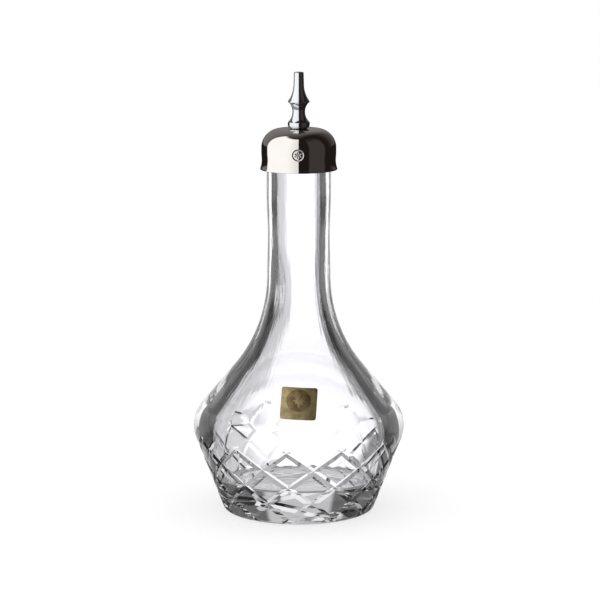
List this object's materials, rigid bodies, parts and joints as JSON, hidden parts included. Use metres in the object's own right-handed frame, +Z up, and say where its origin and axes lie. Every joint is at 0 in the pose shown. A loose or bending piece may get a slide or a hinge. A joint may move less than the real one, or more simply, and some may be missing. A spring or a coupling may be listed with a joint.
{
  "type": "bitters bottle",
  "caption": "Cut crystal dasher bottle with a wide lattice-cut belly, long neck and a metal dasher top on a cork, for dosing bitters by the drop.",
  "frame": {"origin": "centre of the ring that the bottle stands on", "axes": "+Z up along the bottle's axis; the label faces -Y; +X is to the right seen from the label side"},
  "size_m": [0.077, 0.077, 0.16],
  "materials": {
    "crystal": "clear, polished cut crystal",
    "gold_foil": "satin gold foil",
    "polished_cap": "polished chrome plate",
    "polished_spout": "polished chrome plate",
    "silicone": "matte translucent silicone",
    "cork": "natural agglomerated cork",
    "steel": "plain stainless steel"
  },
  "bodies": {
    "bottle": {"glass_bottle": "crystal", "foil_label": "gold_foil"},
    "dasher": {"cap_shell": "polished_cap", "dasher_spout": "polished_spout", "sealing_disc": "silicone", "cork_stopper": "cork", "cork_washer": "steel", "retaining_nut": "steel"}
  },
  "joints": [
    {"name": "dasher_lift", "type": "slide", "parent": "bottle", "child": "dasher", "axis": [0, 0, 1], "range_m": [0, 0.04]}
  ]
}
